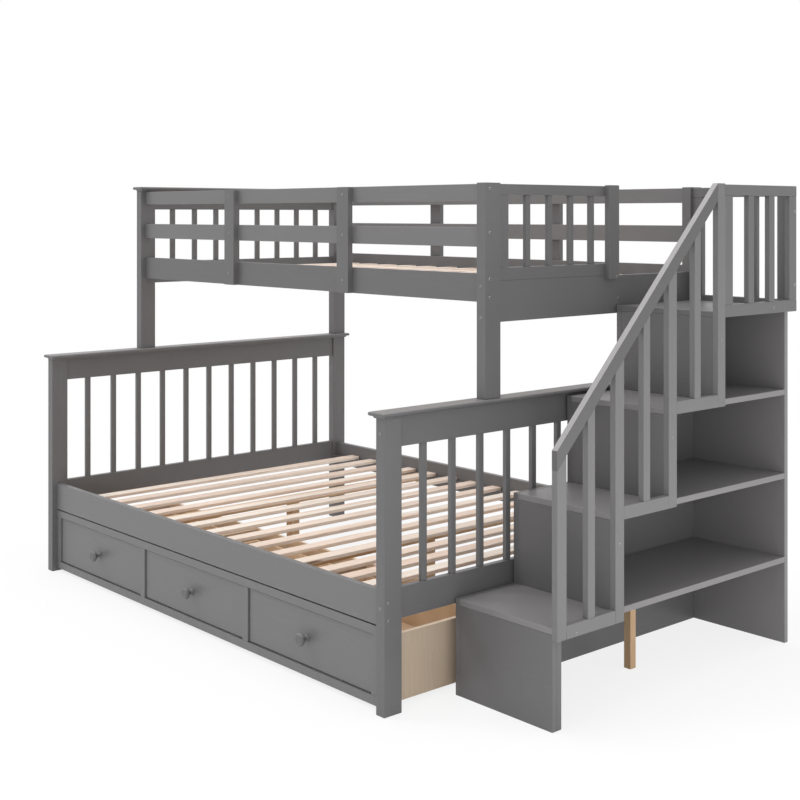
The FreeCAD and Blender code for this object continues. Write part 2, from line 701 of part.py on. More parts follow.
def landing_guards():
    """Guards beside and behind the landing: rails right along, with two stiles and two slats between."""
    low_z = span(LANDING_TOP - s.low_rail_drop, s.low_rail_tall)
    top_z = (GUARD_TOP - s.landing_top_rail_tall, GUARD_TOP)
    between = (low_z[1], top_z[0])
    back_y = span(STAIR_BACK, s.balustrade_thick)
    start = NEWELS[-1] + s.newel_wide
    for name, ends, turned in (("landing_side_guard", (start, back_y[1]), False),
                               ("landing_back_guard", (STAIR_IN_X, STAIR_OUT_X), True)):
        low, high = ends
        inner = (low + s.landing_stile_wide, high - s.landing_stile_wide)
        thick = back_y if turned else RAIL_X
        thin = (thick[0] + s.joint_step, thick[1] - s.joint_step)
        pieces = [(ends, thick, low_z), (ends, thick, top_z)]
        uprights = [(low, inner[0]), (inner[1], high)]
        uprights += spread(*inner, s.stair_baluster_wide, LANDING_SLATS)
        pieces += [(upright, thin, between) for upright in uprights]
        boards(name, [(x, y, z) if turned else (y, x, z) for x, y, z in pieces])


def bolt(name, x, y, z, facing, radius):
    """A flat bolt head seated on a face that looks along +X or -Y."""
    head = doc.addObject("Part::Cylinder", name)
    head.setExpression("Radius", radius.text)
    head.setExpression("Height", s.bolt_proud.text)
    axis = FreeCAD.Vector(0, 1, 0) if facing == "+X" else FreeCAD.Vector(1, 0, 0)
    head.Placement.Rotation = FreeCAD.Rotation(axis, 90)
    shift(head, x, y, z)
    return head


def bolts():
    """Heads of the bolts that hold the rails, stiles and guards."""
    big, small = s.bolt_radius, s.small_bolt_radius
    places = []
    rail_y = UPPER_Y + s.side_setback
    levels = [z[1] - s.rail_bolt_edge for z in (TOP_GUARD_Z, MID_GUARD_Z, BED_RAIL_Z)]
    for z in levels + [BED_RAIL_Z[0] + s.rail_bolt_edge]:
        places.append((s.bed_length, rail_y, z, "+X", big))
    for third in (1, 2):
        for z in (TOP_GUARD_Z, MID_GUARD_Z, BED_RAIL_Z):
            places.append((s.bed_length * third / 3, UPPER_Y, (z[0] + z[1]) / 2, "-Y", small))
    entry_x = (FOOT_RAIL_X[0] + FOOT_RAIL_X[1]) / 2
    for z in (ENTRY_RAIL_Z[1] - s.rail_bolt_edge, ENTRY_RAIL_Z[0] + s.rail_bolt_edge):
        places.append((entry_x, UPPER_Y, z, "-Y", small))
    guard_end = UPPER_INSIDE_Y[0] + s.foot_guard_long
    stile_z = ENTRY_RAIL_Z[1] - s.foot_end_stile_lap + s.bolt_radius * 1.5
    stile_face = FOOT_RAIL_X[1] + s.foot_end_stile_thick
    places.append((stile_face, guard_end - s.foot_end_stile_wide / 4, stile_z, "+X", small))
    entry_z = ENTRY_RAIL_Z[0] + s.entry_rail_tall * 2 / 5
    places.append((FOOT_RAIL_X[1], guard_end + s.rail_bolt_edge, entry_z, "+X", small))
    low_z = s.side_rail_floor + s.side_rail_tall / 2
    for part in (-1, 1):
        z = low_z + s.side_rail_tall / 4 * part
        places.append((s.bed_length, s.post_wide / 4, z, "+X", small))
    post_middle = FOOT_X + s.post_thick / 2
    for z in (s.lower_post_tall - s.end_top_rail_tall / 2, low_z + s.side_rail_tall / 12):
        places.append((post_middle, FLOOR, z, "-Y", small))
    for step in range(1, STEPS + 1):
        z = tread_top(step) - s.low_rail_drop - s.newel_bolt_drop
        places.append((BALUSTRADE_X, NEWELS[step] + s.newel_wide / 2, z, "+X", small))
    places.append((BALUSTRADE_X, NEWELS[0] + s.newel_wide * 2, LOW_RAILS[0] + s.low_rail_tall / 4, "+X", small))
    guard_y = STAIR_BACK + s.balustrade_thick / 2
    low_rail_z = span(LANDING_TOP - s.low_rail_drop, s.low_rail_tall)
    low_middle = (low_rail_z[0] + low_rail_z[1]) / 2
    places.append((BALUSTRADE_X, guard_y - s.landing_stile_wide * 3, low_middle, "+X", small))
    for z in (low_rail_z[1] + s.guard_bolt_gap, GUARD_TOP - s.landing_top_rail_tall - s.guard_bolt_gap):
        places.append((BALUSTRADE_X - s.joint_step, guard_y, z, "+X", big))
    heads = [bolt(f"bolt_{i}", *place) for i, place in enumerate(places, start=1)]
    group("bolt_heads", heads)


def check_document():
    """Stop if an object failed or a sub-part has no sound shape."""
    doc.recompute()
    for item in doc.Objects:
        if {"Invalid", "Error"} & set(item.State):
            raise RuntimeError(f"{item.Label} failed: {item.State}")
    for item in sub_parts:
        if item.Shape.isNull() or not item.Shape.isValid() or not item.Shape.Solids:
            raise RuntimeError(f"{item.Label} has no sound shape")


def write_parts():
    """Write each sub-part under its own label, and print how large the whole is."""
    os.makedirs("parts", exist_ok=True)
    whole = FreeCAD.BoundBox()
    for item in sub_parts:
        item.Shape.exportStep(f"parts/{item.Label}.step")
        whole.add(item.Shape.BoundBox)
        print(f"{item.Label}: {len(item.Shape.Solids)} solids, {item.Shape.Volume / 1e6:.3f} litres")
    print(f"{len(sub_parts)} sub-parts, {whole}")


lower_bunk()
drawer_case()
for count, drawer_opening in enumerate(OPENINGS, start=1):
    drawer(count, drawer_opening)
upper_bunk()
stair_unit()
balustrade()
landing_guards()
bolts()
check_document()
write_parts()
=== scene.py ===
# %% [markdown]
# # Bunk bed with storage stairs
# The bed's construction comes packed as a fixed frame: every board is already there at its true size
# and place. This lesson gives those boards their finish. We start by loading the frame, and at the end
# we measure the finished bed's box.

# %% Load the frame
import math

import bmesh
import bpy
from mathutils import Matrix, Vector


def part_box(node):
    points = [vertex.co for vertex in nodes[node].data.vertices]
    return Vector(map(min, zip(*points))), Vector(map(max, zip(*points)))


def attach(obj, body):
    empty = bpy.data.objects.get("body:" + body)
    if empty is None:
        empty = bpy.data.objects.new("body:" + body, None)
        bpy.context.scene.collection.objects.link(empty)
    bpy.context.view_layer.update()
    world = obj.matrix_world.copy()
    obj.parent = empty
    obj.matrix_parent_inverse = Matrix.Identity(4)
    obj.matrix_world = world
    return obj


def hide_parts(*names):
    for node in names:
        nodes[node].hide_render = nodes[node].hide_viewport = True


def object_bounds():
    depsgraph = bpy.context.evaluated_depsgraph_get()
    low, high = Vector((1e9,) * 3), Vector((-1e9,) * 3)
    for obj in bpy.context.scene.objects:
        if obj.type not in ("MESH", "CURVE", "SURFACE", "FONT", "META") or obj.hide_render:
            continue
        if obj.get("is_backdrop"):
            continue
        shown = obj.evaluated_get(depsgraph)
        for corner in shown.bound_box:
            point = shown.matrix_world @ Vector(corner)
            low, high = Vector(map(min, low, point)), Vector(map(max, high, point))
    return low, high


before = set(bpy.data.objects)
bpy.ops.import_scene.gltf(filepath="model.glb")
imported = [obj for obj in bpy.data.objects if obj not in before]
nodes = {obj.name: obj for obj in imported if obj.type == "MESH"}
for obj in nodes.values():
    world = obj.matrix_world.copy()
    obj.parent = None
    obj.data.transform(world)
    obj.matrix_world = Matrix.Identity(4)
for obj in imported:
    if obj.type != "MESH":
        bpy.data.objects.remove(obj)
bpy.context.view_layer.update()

# %% [markdown]
# ## The eye's place
# The picture was taken from beside the stairs, a little above the handrail's foot, with the camera
# held level. A level camera keeps the posts upright. It could be tilted down to take in the drawers,
# but then the posts would lean, so the lens is shifted down instead.

# %% Camera
IMAGE_SIDE = 800
EYE = Vector((3.5404, -3.0675, 1.3831))
TURN = math.radians(48.67)          # from looking along +Y, towards the head end
FOCAL_PIXELS = 1309.6
HORIZON_ROW = 214.6

camera_data = bpy.data.cameras.new("eye")
camera_data.sensor_width = 36
camera_data.lens = FOCAL_PIXELS / IMAGE_SIDE * camera_data.sensor_width
camera_data.shift_y = (HORIZON_ROW - IMAGE_SIDE / 2) / IMAGE_SIDE
camera = bpy.data.objects.new("eye", camera_data)
camera.location = EYE
camera.rotation_euler = (math.radians(90), 0, TURN)
bpy.context.collection.objects.link(camera)
bpy.context.scene.camera = camera
print(f"lens {camera_data.lens:.1f} mm, shift {camera_data.shift_y:.3f}")

# %% [markdown]
# ## Small helpers for shader nodes
# Every finish below is a few shader nodes wired together. These helpers keep that short: one adds a
# node and sets its inputs by name, one does arithmetic, and one makes a group with named sockets.

# %% Node helpers
def fill(tree, node, values):
    """Wire or set a node's inputs, by name or number."""
    for key, value in values.items():
        if isinstance(value, bpy.types.NodeSocket):
            tree.links.new(value, node.inputs[key])
        else:
            node.inputs[key].default_value = value


def add(tree, kind, values=None, **settings):
    """Add a node, set its plain properties, then fill its inputs."""
    node = tree.nodes.new("ShaderNode" + kind)
    for name, value in settings.items():
        setattr(node, name, value)
    fill(tree, node, values or {})
    return node


def calc(tree, operation, first, second=0.0):
    """One step of arithmetic; returns its result."""
    return add(tree, "Math", {0: first, 1: second}, operation=operation).outputs[0]


def scaled(tree, vector, factors):
    """A vector with each part multiplied by its own factor."""
    return add(tree, "VectorMath", {0: vector, 1: factors}, operation="MULTIPLY").outputs[0]


def smooth_between(tree, value, low, high):
    """0 below low and 1 above high, with a soft step between."""
    step = add(tree, "MapRange", {"Value": value, "From Min": low, "From Max": high},
               interpolation_type="SMOOTHSTEP")
    return step.outputs["Result"]


def blend_colours(tree, share, first, second):
    """Two colours mixed by a share that changes over the surface."""
    mix = tree.nodes.new("ShaderNodeMix")
    mix.data_type = "RGBA"
    fill(tree, mix, {0: share, 6: first, 7: second})
    return mix.outputs[2]


def new_group(name, inputs, outputs):
    """A shader node group; inputs and outputs map each socket's name to its kind."""
    group = bpy.data.node_groups.new(name, "ShaderNodeTree")
    for direction, sockets in (("INPUT", inputs), ("OUTPUT", outputs)):
        for socket, kind in sockets.items():
            group.interface.new_socket(name=socket, in_out=direction, socket_type="NodeSocket" + kind)
    return group, group.nodes.new("NodeGroupInput").outputs, group.nodes.new("NodeGroupOutput")


def use(tree, group, values):
    """Place a group in a material with its own values; returns its outputs."""
    node = tree.nodes.new("ShaderNodeGroup")
    node.node_tree = group
    fill(tree, node, values)
    return node.outputs


print("node helpers ready")

# %% [markdown]
# ## Grain that every board shares
# Sawn wood shows growth rings cut lengthwise. A wave texture could draw stripes, but they would look
# printed. Here each board is cut from a make-believe trunk: the rings are the distance from a pith
# line that runs along the board, and slow noise bends them. Folding the board's own place back and
# forth keeps the pith near, so that some faces show arches. A random number for each board moves the
# pith, so no two slats match. The group's third axis always runs along the grain.

# %% Wood grain: place in the trunk
BOARD_JUMP = 9.7                    # metres across the trunk that a board's random number moves it
BOARD_SLIDE = 31.0                  # and metres along it
FOLD_ACROSS = 0.17                  # metres after which the place runs back again
FOLD_DEEP = 0.13

grain, given, taken = new_group(
    "wood_grain",
    {"Place": "Vector", "Board": "Float", "Ring width": "Float", "Knots": "Float"},
    {"Rings": "Float", "Fibre": "Float", "Knot": "Float", "Tone": "Float"})
parts = add(grain, "SeparateXYZ", {0: given["Place"]}).outputs
board_jump = calc(grain, "MULTIPLY", given["Board"], BOARD_JUMP)
across = calc(grain, "PINGPONG", calc(grain, "ADD", parts[0], board_jump), FOLD_ACROSS)
deep = calc(grain, "PINGPONG", calc(grain, "ADD", parts[1], board_jump), FOLD_DEEP)
along = calc(grain, "ADD", parts[2], calc(grain, "MULTIPLY", given["Board"], BOARD_SLIDE))
trunk = add(grain, "CombineXYZ", {0: across, 1: deep, 2: along}).outputs[0]
print("a board's place in its trunk is set")

# %% [markdown]
# The rings come from that distance. Early wood is pale and wide, late wood is dark and thin, so the
# repeating ramp is raised to a power instead of being a plain wave.

# %% Wood grain: rings, fibres and knots
SWAY_CELLS = (5.0, 5.0, 0.9)        # per metre: across the grain twice, then along it
SWAY_REACH = 0.075                  # metres that the rings wander
LATE_WOOD_POWER = 2.4
FIBRE_CELLS = (420.0, 420.0, 9.0)
KNOT_CELLS = (9.0, 9.0, 2.1)
KNOT_RIM = 0.11                     # from the middle of a knot's cell, as a share of the cell
KNOT_CORE = 0.05

sway_place = scaled(grain, trunk, SWAY_CELLS)
sway = add(grain, "TexNoise", {"Vector": sway_place, "Scale": 1.0, "Detail": 3.0}).outputs[0]
sway_width = calc(grain, "MULTIPLY", calc(grain, "SUBTRACT", sway, 0.5), SWAY_REACH)
flat_trunk = add(grain, "CombineXYZ", {0: across, 1: deep}).outputs[0]
pith_distance = add(grain, "VectorMath", {0: flat_trunk}, operation="LENGTH").outputs["Value"]
ring_count = calc(grain, "DIVIDE", calc(grain, "ADD", pith_distance, sway_width), given["Ring width"])
ring = calc(grain, "POWER", calc(grain, "FRACT", ring_count), LATE_WOOD_POWER)
fibre_place = scaled(grain, trunk, FIBRE_CELLS)
fibre = add(grain, "TexNoise", {"Vector": fibre_place, "Scale": 1.0, "Detail": 2.0}).outputs[0]
knot_cell = add(grain, "TexVoronoi", {"Vector": scaled(grain, trunk, KNOT_CELLS), "Scale": 1.0})
knot_body = smooth_between(grain, knot_cell.outputs["Distance"], KNOT_RIM, KNOT_CORE)
knot_chance = add(grain, "SeparateXYZ", {0: knot_cell.outputs["Color"]}).outputs[0]
knot_here = calc(grain, "LESS_THAN", knot_chance, given["Knots"])
tone = add(grain, "TexWhiteNoise", {"W": given["Board"]}, noise_dimensions="1D")
fill(grain, taken, {"Rings": ring, "Fibre": fibre, "Tone": tone.outputs["Value"],
                    "Knot": calc(grain, "MULTIPLY", knot_body, knot_here)})
print("wood_grain makes rings, fibre, knots and a tone for each board")

# %% [markdown]
# ## Worn edges with a painted highlight
# Handled edges lose a little paint, and eased edges catch light, so the paler colour along them is
# partly wear and partly a painted highlight. The trick is to compare the true normal with one rounded
# over a small radius: they differ only near an edge. Noise breaks the line up, so that the mark isn't a
# drawn outline.

# %% Edge wear group
TURN_STARTS = 0.02                  # one less the cosine between the true and the rounded normal
TURN_FULL = 0.28
PATCH_CELLS = 26.0                  # per metre
PATCH_STARTS = 0.34
PATCH_FULL = 0.66

wear_and_sheen, given, taken = new_group(
    "edge_wear_and_sheen", {"Place": "Vector", "Radius": "Float", "Amount": "Float"}, {"Wear and sheen": "Float"})
rounded = add(wear_and_sheen, "Bevel", {"Radius": given["Radius"]}, samples=4).outputs[0]
true_normal = add(wear_and_sheen, "NewGeometry").outputs["Normal"]
both_normals = {0: rounded, 1: true_normal}
agreement = add(wear_and_sheen, "VectorMath", both_normals, operation="DOT_PRODUCT").outputs["Value"]
edge = smooth_between(wear_and_sheen, calc(wear_and_sheen, "SUBTRACT", 1.0, agreement), TURN_STARTS, TURN_FULL)
patch_noise = {"Vector": given["Place"], "Scale": PATCH_CELLS, "Detail": 4.0}
patches = add(wear_and_sheen, "TexNoise", patch_noise).outputs[0]
broken = smooth_between(wear_and_sheen, patches, PATCH_STARTS, PATCH_FULL)
broken_edge = calc(wear_and_sheen, "MULTIPLY", edge, broken)
fill(wear_and_sheen, taken, {"Wear and sheen": calc(wear_and_sheen, "MULTIPLY", broken_edge, given["Amount"])})
print("edge_wear_and_sheen ready")

# %% [markdown]
# ## Faces that look up
# Some finishes differ on top: the drawer case's upward faces are paler, and the handrail and the caps
# carry a painted highlight on top. A thin strip could be laid on, but the surface's own normal already
# tells where it looks up, so one group serves them all.

# %% Upward faces group
upward, given, taken = new_group("looks_up", {"Starts": "Float", "Full": "Float"}, {"Share": "Float"})
facing = add(upward, "SeparateXYZ", {0: add(upward, "NewGeometry").outputs["Normal"]}).outputs[2]
fill(upward, taken, {"Share": smooth_between(upward, facing, given["Starts"], given["Full"])})
print("looks_up ready")

# %% [markdown]
# ## A rolled coat of paint
# Satin paint on wood is never one flat grey. The roller leaves a fine stipple, the coat is a little
# thicker in places, and the grain underneath can just be felt. The group gives a slow mottle for the
# colour and a height for the bump.

# %% Paint coat group
STIPPLE_CELLS = 620.0               # per metre
MOTTLE_CELLS = 5.5
RING_FELT = 0.35                    # shares of the coat's height
FIBRE_FELT = 0.45
STIPPLE_FELT = 0.3

coat, given, taken = new_group(
    "paint_coat", {"Place": "Vector", "Rings": "Float", "Fibre": "Float"},
    {"Mottle": "Float", "Height": "Float"})
stipple_noise = {"Vector": given["Place"], "Scale": STIPPLE_CELLS, "Detail": 2.0}
stipple = add(coat, "TexNoise", stipple_noise).outputs[0]
mottle_noise = {"Vector": given["Place"], "Scale": MOTTLE_CELLS, "Detail": 5.0}
mottle = add(coat, "TexNoise", mottle_noise).outputs[0]
felt_grain = calc(coat, "ADD", calc(coat, "MULTIPLY", given["Rings"], RING_FELT),
                  calc(coat, "MULTIPLY", given["Fibre"], FIBRE_FELT))
felt_stipple = calc(coat, "MULTIPLY", stipple, STIPPLE_FELT)
fill(coat, taken, {"Mottle": mottle, "Height": calc(coat, "ADD", felt_grain, felt_stipple)})
print("paint_coat ready")

# %% [markdown]
# ## Materials
# One function makes each finish, and takes the axis that the grain runs along. The boards keep their
# place in space, so the grain is turned by swapping the parts of the coordinate, not by turning the
# board.

# %% Shared start of a wooden material
def srgb(red, green, blue):
    """A colour given as it looks on a screen, from 0 to 255."""
    return tuple(((v / 255 + 0.055) / 1.055) ** 2.4 for v in (red, green, blue)) + (1.0,)


TURNED_PARTS = {"X": (1, 2, 0), "Y": (2, 0, 1), "Z": (0, 1, 2)}


def wooden(name, axis, ring_width, knots):
    """A new material with its shader, the place along the grain and the grain's outputs."""
    material = bpy.data.materials.new(f"{name}_{axis.lower()}")
    material.use_nodes = True
    tree = material.node_tree
    shader = tree.nodes["Principled BSDF"]
    place = add(tree, "TexCoord").outputs["Object"]
    split = add(tree, "SeparateXYZ", {0: place}).outputs
    turned_place = add(tree, "CombineXYZ", {i: split[p] for i, p in enumerate(TURNED_PARTS[axis])})
    board = add(tree, "NewGeometry").outputs["Random Per Island"]
    looks = use(tree, grain, {"Place": turned_place.outputs[0], "Board": board,
                              "Ring width": ring_width, "Knots": knots})
    return material, tree, shader, place, looks


def roughen(tree, shader, source, roughness, spread):
    """Roughness that varies round a value with a source between 0 and 1."""
    varied = add(tree, "MapRange", {"Value": source, "To Min": roughness - spread,
                                    "To Max": roughness + spread})
    fill(tree, shader, {"Roughness": varied.outputs[0]})


def emboss(tree, shader, height, strength, distance):
    """A bump from a height between 0 and 1; the distance is what 1 stands for, in metres."""
    bump = add(tree, "Bump", {"Strength": strength, "Distance": distance, "Height": height})
    fill(tree, shader, {"Normal": bump.outputs[0]})


def differ_on_top(material, name, colour, starts=0.6, full=0.9):
    """Give a finish another colour where the surface looks up, and a name."""
    tree = material.node_tree
    shader = tree.nodes["Principled BSDF"]
    below = shader.inputs["Base Color"].links[0].from_socket
    share = use(tree, upward, {"Starts": starts, "Full": full})["Share"]
    fill(tree, shader, {"Base Color": blend_colours(tree, share, below, colour)})
    material.name = name
    return material


print("a wooden material can be started")

# %% [markdown]
# The grey paint is the bed's main finish: satin, nearly neutral, a little paler along its edges, partly
# from wear and partly as a painted highlight. The colour is mixed from two greys by the mottle, and the
# grain shows only as a trace. The bed has one paint, given here in lighter and darker copies that are
# painted light and shade: posts and rails take the darkest, and the stairs' shelves the palest, which
# paints light into the cubbies. The handrail takes a darker copy with a much paler top, and the moulded
# caps are a little paler on top: both tops are painted highlights.

# %% Grey satin paint
# Lighter and darker copies of one grey paint: the differences between them are painted light and shade.
PAINT_LIT_COPIES = {"deep": (srgb(100, 99, 100), srgb(108, 107, 108)),
               "middle": (srgb(111, 110, 111), srgb(119, 118, 119)),
               "pale": (srgb(124, 122, 123), srgb(133, 131, 132)),
               "handrail": (srgb(91, 90, 91), srgb(98, 97, 98))}
BOARD_LIT_COPIES = ("deep", "middle", "pale")
# The paler edge colour is partly wear and partly a painted highlight, and it is also the handrail's
# painted highlight on top.
PAINT_EDGE = srgb(150, 148, 148)
CAP_TOP_HIGHLIGHT = srgb(126, 124, 125)
PAINTED_RINGS = 0.006               # metres from ring to ring
MOTTLE_SHARE = 0.7                  # of the mix between a tone's two greys
RING_SHARE = 0.3
WEAR_AND_SHEEN_RADIUS = 0.0025
WEAR_AND_SHEEN_SHARE = 0.55


def grey_paint(axis, tone):
    """Satin paint in one tone, over wood whose grain runs along an axis."""
    material, tree, shader, place, looks = wooden("grey_paint_" + tone, axis, PAINTED_RINGS, 0.0)
    film = use(tree, coat, {"Place": place, "Rings": looks["Rings"], "Fibre": looks["Fibre"]})
    thin = calc(tree, "ADD", calc(tree, "MULTIPLY", film["Mottle"], MOTTLE_SHARE),
                calc(tree, "MULTIPLY", looks["Rings"], RING_SHARE))
    wear_and_sheen_mark = use(tree, wear_and_sheen, {"Place": place, "Radius": WEAR_AND_SHEEN_RADIUS, "Amount": WEAR_AND_SHEEN_SHARE})
    colour = blend_colours(tree, thin, *PAINT_LIT_COPIES[tone])
    colour = blend_colours(tree, wear_and_sheen_mark["Wear and sheen"], colour, PAINT_EDGE)
    fill(tree, shader, {"Base Color": colour, "Specular IOR Level": 0.45})
    roughen(tree, shader, film["Mottle"], roughness=0.42, spread=0.07)
    emboss(tree, shader, film["Height"], strength=0.22, distance=0.0006)
    return material


paints = {(axis, tone): grey_paint(axis, tone) for axis in "XYZ" for tone in BOARD_LIT_COPIES}
# The paler tops of the handrail and the caps are painted highlights, and the handrail's darker copy of
# the grey is painted shade.
handrail_paint = differ_on_top(grey_paint("Y", "handrail"), "handrail_paint", PAINT_EDGE,
                               starts=0.3, full=0.5)
top_highlight_paint = differ_on_top(grey_paint("Y", "deep"), "top_highlight_paint", CAP_TOP_HIGHLIGHT, starts=0.35, full=0.8)
print("paint:", sorted(m.name for m in paints.values()), handrail_paint.name, top_highlight_paint.name)

# %% [markdown]
# The slats are bare softwood, planed and pale. Each one takes its own tone between cream and a
# pinkish tan, as boards from different trees do.

# %% Bare pine
THREAD_STARTS = 0.45                # fibre noise at which a dark thread begins
THREAD_FULL = 0.8
THREAD_SHARE = 0.25
KNOT_SHARE = 0.8
KNOT_BROWN = srgb(122, 76, 44)


def bare_wood(name, axis, tones, knots=0.35, roughness=0.6, ring_width=0.0045, ring_share=0.5):
    """Unpainted wood; its tones are the palest board, the darkest board and the late wood."""
    light, dark, late = (srgb(*tone) for tone in tones)
    material, tree, shader, _, looks = wooden(name, axis, ring_width, knots)
    board_tone = blend_colours(tree, looks["Tone"], light, dark)
    rings_shown = calc(tree, "MULTIPLY", looks["Rings"], ring_share)
    ringed = blend_colours(tree, rings_shown, board_tone, late)
    threads = smooth_between(tree, looks["Fibre"], THREAD_STARTS, THREAD_FULL)
    threads_shown = calc(tree, "MULTIPLY", threads, THREAD_SHARE)
    fibred = blend_colours(tree, threads_shown, ringed, late)
    knots_shown = calc(tree, "MULTIPLY", looks["Knot"], KNOT_SHARE)
    knotted = blend_colours(tree, knots_shown, fibred, KNOT_BROWN)
    fill(tree, shader, {"Base Color": knotted, "Specular IOR Level": 0.3})
    roughen(tree, shader, looks["Fibre"], roughness, spread=0.1)
    emboss(tree, shader, looks["Fibre"], strength=0.35, distance=0.0005)
    return material


slat_wood = bare_wood("slat_pine", "Y", [(253, 247, 237), (240, 216, 200), (211, 176, 148)])
bearer_wood = bare_wood("bearer_pine", "Y", [(222, 194, 158), (214, 182, 142), (178, 136, 94)])
leg_wood = bare_wood("leg_pine", "Z", [(208, 180, 146), (199, 168, 132), (166, 130, 96)])
print("bare wood:", slat_wood.name, bearer_wood.name, leg_wood.name)

# %% [markdown]
# The drawer boxes are a warmer wood under clear lacquer. The case round them is a calm veneer whose
# grain stands upright, with hardly any rings. Its upward faces, along the top edges, take a paler colour
# that shows as a pale line.

# %% Lacquered drawer wood
CASE_UPWARD_PALE = srgb(255, 236, 212)
CASE_TONES = [(205, 186, 165), (197, 177, 154), (176, 150, 122)]
BOX_TONES = [(244, 219, 190), (237, 210, 179), (214, 179, 144)]
LACQUERED = {"knots": 0.0, "roughness": 0.5}

case_wood = bare_wood("case_wood", "Z", CASE_TONES, ring_width=0.012, ring_share=0.15, **LACQUERED)
differ_on_top(case_wood, "case_veneer", CASE_UPWARD_PALE)
box_wood = {axis: bare_wood("box_wood", axis, BOX_TONES, ring_width=0.007, ring_share=0.25, **LACQUERED)
            for axis in "XY"}
print("drawer wood ready")

# %% [markdown]
# Bolt heads are zinc plated: a dull, slightly yellow grey with tiny scratches. Down in the key's socket
# the colour is a painted shade. The glides under the case are black moulded plastic.

# %% Metal and plastic
def plain_finish(name, pale, dark, roughness, metallic, cells):
    """A small part's finish: two tones and a roughness broken up by the same fine noise."""
    material = bpy.data.materials.new(name)
    material.use_nodes = True
    tree = material.node_tree
    shader = tree.nodes["Principled BSDF"]
    place = add(tree, "TexCoord").outputs["Object"]
    marks = add(tree, "TexNoise", {"Vector": place, "Scale": cells, "Detail": 5.0}).outputs[0]
    colour = blend_colours(tree, marks, srgb(*pale), srgb(*dark))
    fill(tree, shader, {"Base Color": colour, "Metallic": metallic})
    roughen(tree, shader, marks, roughness, spread=0.12)
    emboss(tree, shader, marks, strength=0.15, distance=0.0002)
    return material


zinc = plain_finish("zinc", (188, 186, 182), (160, 158, 154), roughness=0.4, metallic=1.0, cells=900.0)
# The socket's dark finish is painted shade for the depth of the hole.
socket_painted_shade = plain_finish("socket_painted_shade", (70, 68, 65), (48, 47, 45), roughness=0.6, metallic=0.4,
                           cells=900.0)
glide_plastic = plain_finish("glide_plastic", (38, 38, 38), (52, 52, 52), roughness=0.5, metallic=0.0,
                             cells=700.0)
print("zinc and plastic ready")

# %% [markdown]
# ## Dress the boards
# Each node gets the finish whose grain runs along its boards. The long axis of most boards is clear
# from the node's name, so short lists of words settle it.

# %% Choose a finish for every node
PAINT_ALONG_X = ("side_rail", "ledges", "bed_rail", "guard_rails", "face_frame", "drawer_front",
                 "risers", "back_guard", "landing_board")
PAINT_ALONG_Y = ("top_rail", "bottom_rail", "cap", "head_rails", "entry_rail", "low_rails", "handrail",
                 "foot_guard_rails", "shelves", "side_panel", "knob")
# These nodes take paler copies of the paint, which is painted light; the palest is inside the stairs'
# cubbies.
MIDDLE_LIT_NODES = ("drawer_front", "drawer_face_frame", "side_rail", "balustrade", "upper_guard_rails")
PALEST_LIT_NODES = ("stair_shelves", "stair_back_panel")
OWN_FINISH = {"lower_slats": slat_wood, "upper_slats": slat_wood, "cross_bearers": bearer_wood,
              "centre_legs": leg_wood, "stair_leg": leg_wood, "drawer_case_panels": case_wood,
              "drawer_case_back": box_wood["X"], "drawer_runners": case_wood, "bolt_heads": zinc,
              "case_glides": glide_plastic, "handrail": handrail_paint}


def lit_copy_for(name):
    """Which lit or shaded copy of the grey paint a node has."""
    if name.startswith(MIDDLE_LIT_NODES):
        return "middle"
    if name.startswith(PALEST_LIT_NODES):
        return "pale"
    return "deep"


def finish_for(name):
    """The material for a node."""
    if name in OWN_FINISH:
        return OWN_FINISH[name]
    if name.startswith("drawer_box"):
        return box_wood["Y"]
    if any(word in name for word in PAINT_ALONG_Y):
        return paints["Y", lit_copy_for(name)]
    if any(word in name for word in PAINT_ALONG_X):
        return paints["X", lit_copy_for(name)]
    return paints["Z", lit_copy_for(name)]


for name, node in nodes.items():
    node.data.materials.clear()
    node.data.materials.append(finish_for(name))
print(f"{len(nodes)} nodes dressed")

# %% [markdown]
# ## Ease the edges
# Real boards have their edges taken off with a router or sandpaper, and that thin rounded line is
# what catches the light. The boards come with sharp corners and unshared vertices, so a weld joins
# the corners first and a bevel then rounds them. Both are modifiers: the board itself stays as it is.

# %% Weld and bevel
WELD_REACH = 0.00002                # metres between vertices that count as one
EDGE_ROUND = 0.0016
SMALL_ROUND = 0.0005
EDGE_ANGLE = math.radians(35)
SMALL_NODES = ("bolt_heads", "case_glides", "drawer_knob_1", "drawer_knob_2", "drawer_knob_3")

for name, node in nodes.items():
    weld = node.modifiers.new("weld", "WELD")
    weld.merge_threshold = WELD_REACH
    ease = node.modifiers.new("ease", "BEVEL")
    ease.width = SMALL_ROUND if name in SMALL_NODES else EDGE_ROUND
    ease.segments = 2
    ease.limit_method = "ANGLE"
    ease.angle_limit = EDGE_ANGLE
print("edges eased")

# %% [markdown]
# ## Moulded caps
# Each end frame and the upper head end wear a cap that a router has shaped: a bead round its edge and
# a hollow under the bead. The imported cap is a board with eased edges, so a finer piece stands in for
# it. A curve with a bevel profile could be swept round, but its corners would need mending. Stacked
# outlines are simpler: each is the board's rectangle drawn in by the profile, and the mitred corners
# come by themselves.

# %% A piece from faces
def new_piece(name, points, faces, materials, body, smooth_below=30):
    """A mesh object with its finishes and the body that it rides on."""
    mesh = bpy.data.meshes.new(name)
    mesh.from_pydata(points, [], faces)
    for material in materials:
        mesh.materials.append(material)
    mesh.shade_smooth()
    mesh.set_sharp_from_angle(angle=math.radians(smooth_below))
    piece = bpy.data.objects.new(name, mesh)
    bpy.context.collection.objects.link(piece)
    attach(piece, body)
    return piece


def arc(centre, radius, start, end, steps):
    """Points along an arc in a profile's plane; angles are in degrees."""
    angles = [math.radians(start + (end - start) * i / steps) for i in range(steps + 1)]
    return [(centre[0] + radius * math.cos(a), centre[1] + radius * math.sin(a)) for a in angles]


